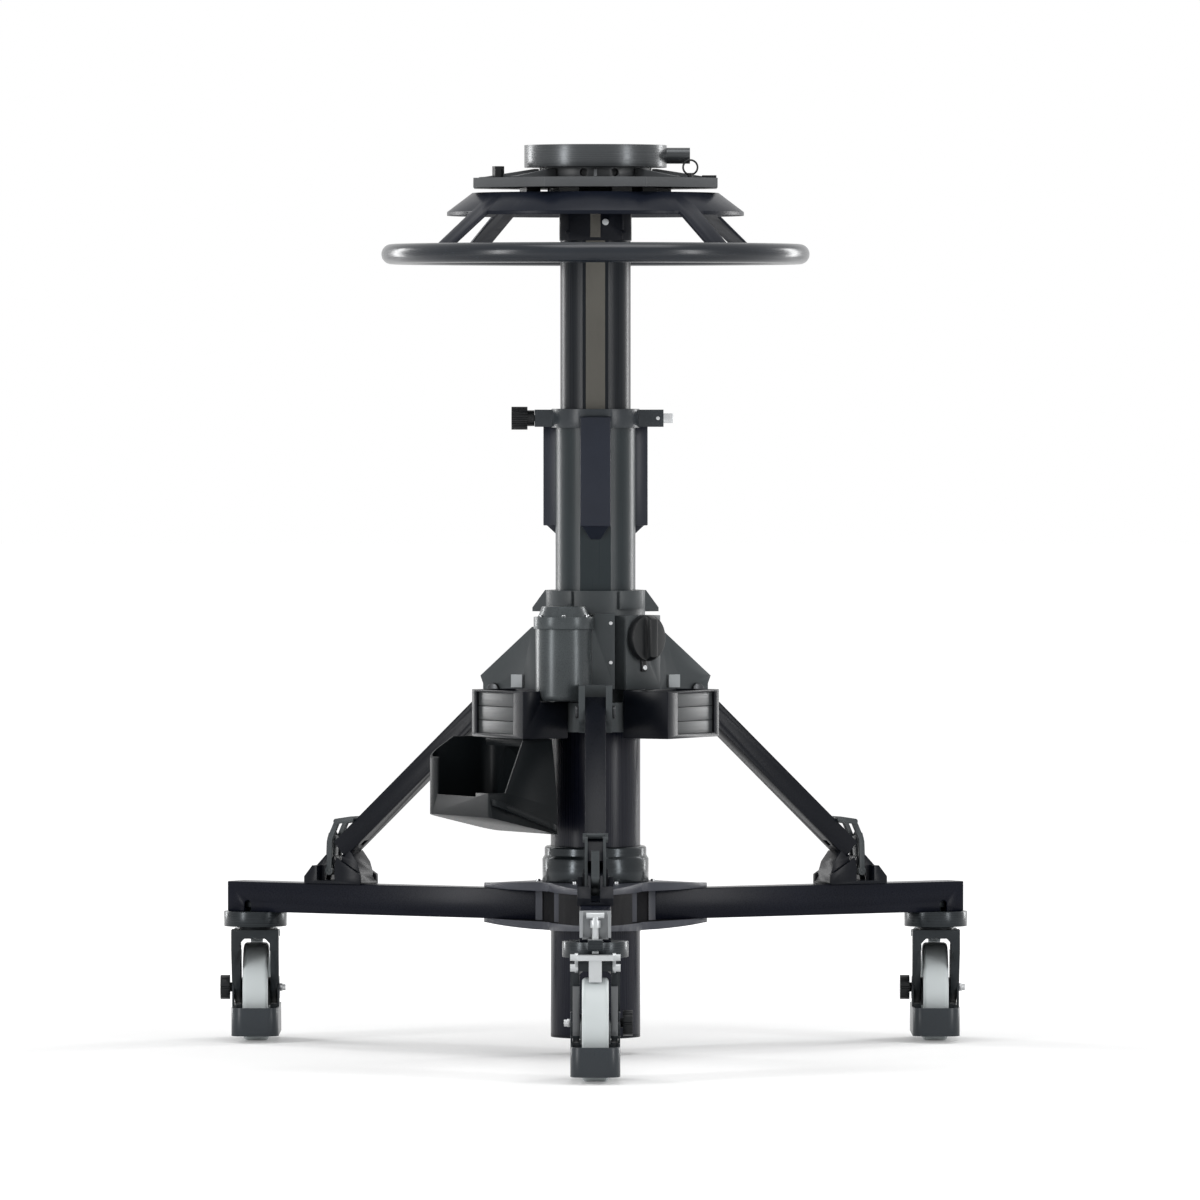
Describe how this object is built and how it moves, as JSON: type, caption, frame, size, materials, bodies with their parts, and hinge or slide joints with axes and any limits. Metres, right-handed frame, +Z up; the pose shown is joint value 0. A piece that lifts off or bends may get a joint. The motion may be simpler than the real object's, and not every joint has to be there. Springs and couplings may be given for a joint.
{
  "type": "studio camera pedestal",
  "caption": "Rolling studio camera pedestal with a tracking skid on swivel castors, a telescoping column, stays with latches, weight trays, steering ring and lockable camera mount.",
  "frame": {"origin": "on the floor, under the middle of the whole object's bounding box", "axes": "+Z up; -Y towards the front leg and the camera of the picture; +X to the right of the picture"},
  "size_m": [0.951, 0.986, 1.1361],
  "materials": {
    "frame_paint": "satin black paint",
    "grey_paint": "satin anthracite paint",
    "casting_paint": "fine textured dark grey paint",
    "gloss_trim": "semi-gloss dark paint",
    "column_finish": "black anodised",
    "weight_steel": "dark grey paint",
    "bare_steel": "satin plated",
    "silver_paint": "light silver paint",
    "tyre_grey": "light grey polyurethane",
    "wheel_plastic": "moulded grey nylon",
    "knob_plastic": "moulded black plastic",
    "bin_plastic": "moulded dark plastic",
    "pad_plastic": "acetal guide pad",
    "track_plastic": "tan grey running strip",
    "ring_cover": "smooth black grip"
  },
  "bodies": {
    "pedestal": {"hub_frame": "frame_paint", "hub_top_plate": "frame_paint", "seat_ring": "gloss_trim", "leg_tubes": "frame_paint", "leg_end_castings": "grey_paint", "latch_brackets": "frame_paint", "column_tube": "column_finish", "column_foot": "frame_paint", "collar": "casting_paint", "collar_guide_pads": "pad_plastic", "valve_cap": "casting_paint", "stay_tubes": "column_finish", "stay_bolts": "bare_steel", "weight_trays": "frame_paint", "trim_weights": "weight_steel", "storage_bin": "bin_plastic"},
    "middle_stage": {"stage_tube": "column_finish", "roller_covers": "frame_paint", "stage_guide_pads": "pad_plastic", "clamp_ring": "casting_paint"},
    "top_stage": {"inner_column": "column_finish", "track_strips": "track_plastic", "inner_foot": "frame_paint", "head_block": "frame_paint", "fairing": "frame_paint", "handling_ring": "ring_cover", "weight_plate": "casting_paint", "head_seat": "casting_paint", "head_fittings": "frame_paint"},
    "brake_knob": {"brake_knob": "knob_plastic"},
    "clamp_ring_knob": {"clamp_ring_knob": "knob_plastic"},
    "clamp_ring_lever": {"clamp_ring_lever": "bare_steel"},
    "lock_ring": {"lock_ring": "casting_paint"},
    "swivel_front": {"fork_front": "grey_paint"},
    "wheel_front": {"tyre_front": "tyre_grey", "wheel_centre_front": "wheel_plastic"},
    "brake_front": {"brake_front": "silver_paint"},
    "cable_guard_front": {"cable_guard_front": "frame_paint"},
    "guard_screw_front": {"guard_screw_front": "knob_plastic"},
    "tracking_plunger_front": {"tracking_plunger_front": "bare_steel"},
    "lever_front": {"lever_front": "casting_paint"},
    "claw_front": {"claw_front": "casting_paint"},
    "swivel_right": {"fork_right": "grey_paint"},
    "wheel_right": {"tyre_right": "tyre_grey", "wheel_centre_right": "wheel_plastic"},
    "brake_right": {"brake_right": "silver_paint"},
    "cable_guard_right": {"cable_guard_right": "frame_paint"},
    "guard_screw_right": {"guard_screw_right": "knob_plastic"},
    "tracking_plunger_right": {"tracking_plunger_right": "bare_steel"},
    "lever_right": {"lever_right": "casting_paint"},
    "claw_right": {"claw_right": "casting_paint"},
    "swivel_left": {"fork_left": "grey_paint"},
    "wheel_left": {"tyre_left": "tyre_grey", "wheel_centre_left": "wheel_plastic"},
    "brake_left": {"brake_left": "silver_paint"},
    "cable_guard_left": {"cable_guard_left": "frame_paint"},
    "guard_screw_left": {"guard_screw_left": "knob_plastic"},
    "tracking_plunger_left": {"tracking_plunger_left": "bare_steel"},
    "lever_left": {"lever_left": "casting_paint"},
    "claw_left": {"claw_left": "casting_paint"}
  },
  "joints": [
    {"name": "middle_slide", "type": "slide", "parent": "pedestal", "child": "middle_stage", "axis": [0, 0, 1], "range_m": [-0.06, 0.17]},
    {"name": "top_slide", "type": "slide", "parent": "middle_stage", "child": "top_stage", "axis": [0, 0, 1], "range_m": [-0.06, 0.17]},
    {"name": "swivel_front", "type": "hinge", "parent": "pedestal", "child": "swivel_front", "pos_m": [0.0025, -0.375, 0.148], "axis": [0, 0, 1], "continuous": true},
    {"name": "wheel_spin_front", "type": "hinge", "parent": "swivel_front", "child": "wheel_front", "pos_m": [0.0025, -0.415, 0.0625], "axis": [1, 0, 0], "continuous": true},
    {"name": "brake_pivot_front", "type": "hinge", "parent": "swivel_front", "child": "brake_front", "pos_m": [0.0025, -0.422, 0.137], "axis": [1, 0, 0], "range_deg": [0, 5.2]},
    {"name": "guard_slide_front", "type": "slide", "parent": "swivel_front", "child": "cable_guard_front", "axis": [0, 0, 1], "range_m": [-0.007, 0.006]},
    {"name": "guard_screw_turn_front", "type": "hinge", "parent": "swivel_front", "child": "guard_screw_front", "pos_m": [0.0325, -0.393, 0.069], "axis": [1, 0, 0], "range_deg": [0, 270]},
    {"name": "tracking_lock_front", "type": "slide", "parent": "pedestal", "child": "tracking_plunger_front", "axis": [0, 0, 1], "range_m": [-0.008, 0]},
    {"name": "latch_lever_front", "type": "hinge", "parent": "pedestal", "child": "lever_front", "pos_m": [0.0025, -0.26, 0.234], "axis": [1, 0, 0], "range_deg": [0, 95]},
    {"name": "latch_claw_front", "type": "hinge", "parent": "lever_front", "child": "claw_front", "pos_m": [0.0025, -0.25774, 0.2212], "axis": [1, 0, 0], "range_deg": [-61, 0]},
    {"name": "swivel_right", "type": "hinge", "parent": "pedestal", "child": "swivel_right", "pos_m": [0.43551, 0.375, 0.148], "axis": [0, 0, 1], "continuous": true},
    {"name": "wheel_spin_right", "type": "hinge", "parent": "swivel_right", "child": "wheel_right", "pos_m": [0.43551, 0.415, 0.0625], "axis": [-1, 0, 0], "continuous": true},
    {"name": "brake_pivot_right", "type": "hinge", "parent": "swivel_right", "child": "brake_right", "pos_m": [0.43551, 0.422, 0.137], "axis": [-1, 0, 0], "range_deg": [0, 5.2]},
    {"name": "guard_slide_right", "type": "slide", "parent": "swivel_right", "child": "cable_guard_right", "axis": [0, 0, 1], "range_m": [-0.007, 0.006]},
    {"name": "guard_screw_turn_right", "type": "hinge", "parent": "swivel_right", "child": "guard_screw_right", "pos_m": [0.40551, 0.393, 0.069], "axis": [-1, 0, 0], "range_deg": [0, 270]},
    {"name": "tracking_lock_right", "type": "slide", "parent": "pedestal", "child": "tracking_plunger_right", "axis": [0, 0, 1], "range_m": [-0.008, 0]},
    {"name": "latch_lever_right", "type": "hinge", "parent": "pedestal", "child": "lever_right", "pos_m": [0.33592, 0.3175, 0.234], "axis": [-0.5, 0.866, 0], "range_deg": [0, 95]},
    {"name": "latch_claw_right", "type": "hinge", "parent": "lever_right", "child": "claw_right", "pos_m": [0.33397, 0.31637, 0.2212], "axis": [-0.5, 0.866, 0], "range_deg": [-61, 0]},
    {"name": "swivel_left", "type": "hinge", "parent": "pedestal", "child": "swivel_left", "pos_m": [-0.43051, 0.375, 0.148], "axis": [0, 0, 1], "continuous": true},
    {"name": "wheel_spin_left", "type": "hinge", "parent": "swivel_left", "child": "wheel_left", "pos_m": [-0.43051, 0.415, 0.0625], "axis": [-1, 0, 0], "continuous": true},
    {"name": "brake_pivot_left", "type": "hinge", "parent": "swivel_left", "child": "brake_left", "pos_m": [-0.43051, 0.422, 0.137], "axis": [-1, 0, 0], "range_deg": [0, 5.2]},
    {"name": "guard_slide_left", "type": "slide", "parent": "swivel_left", "child": "cable_guard_left", "axis": [0, 0, 1], "range_m": [-0.007, 0.006]},
    {"name": "guard_screw_turn_left", "type": "hinge", "parent": "swivel_left", "child": "guard_screw_left", "pos_m": [-0.46051, 0.393, 0.069], "axis": [-1, 0, 0], "range_deg": [0, 270]},
    {"name": "tracking_lock_left", "type": "slide", "parent": "pedestal", "child": "tracking_plunger_left", "axis": [0, 0, 1], "range_m": [-0.008, 0]},
    {"name": "latch_lever_left", "type": "hinge", "parent": "pedestal", "child": "lever_left", "pos_m": [-0.33092, 0.3175, 0.234], "axis": [-0.5, -0.866, 0], "range_deg": [0, 95]},
    {"name": "latch_claw_left", "type": "hinge", "parent": "lever_left", "child": "claw_left", "pos_m": [-0.32897, 0.31637, 0.2212], "axis": [-0.5, -0.866, 0], "range_deg": [-61, 0]},
    {"name": "brake_knob_turn", "type": "hinge", "parent": "pedestal", "child": "brake_knob", "pos_m": [0.06968, 0.05782, 0.522], "axis": [0.7071, -0.7071, 0], "range_deg": [0, 270]},
    {"name": "ring_knob_turn", "type": "hinge", "parent": "middle_stage", "child": "clamp_ring_knob", "pos_m": [-0.0875, 0.125, 0.79525], "axis": [-1, 0, 0], "range_deg": [0, 270]},
    {"name": "ring_lever_turn", "type": "hinge", "parent": "middle_stage", "child": "clamp_ring_lever", "pos_m": [0.0805, 0.125, 0.79525], "axis": [0, 1, 0], "range_deg": [0, 50]},
    {"name": "lock_ring_turn", "type": "hinge", "parent": "top_stage", "child": "lock_ring", "pos_m": [0.0025, 0.125, 1.122], "axis": [0, 0, 1], "range_deg": [0, 35]}
  ],
  "couplings": [
    {"joint": "top_slide", "follows": "middle_slide", "ratio": 1},
    {"joint": "latch_claw_front", "follows": "latch_lever_front", "ratio": -0.64},
    {"joint": "latch_claw_right", "follows": "latch_lever_right", "ratio": -0.64},
    {"joint": "latch_claw_left", "follows": "latch_lever_left", "ratio": -0.64}
  ]
}
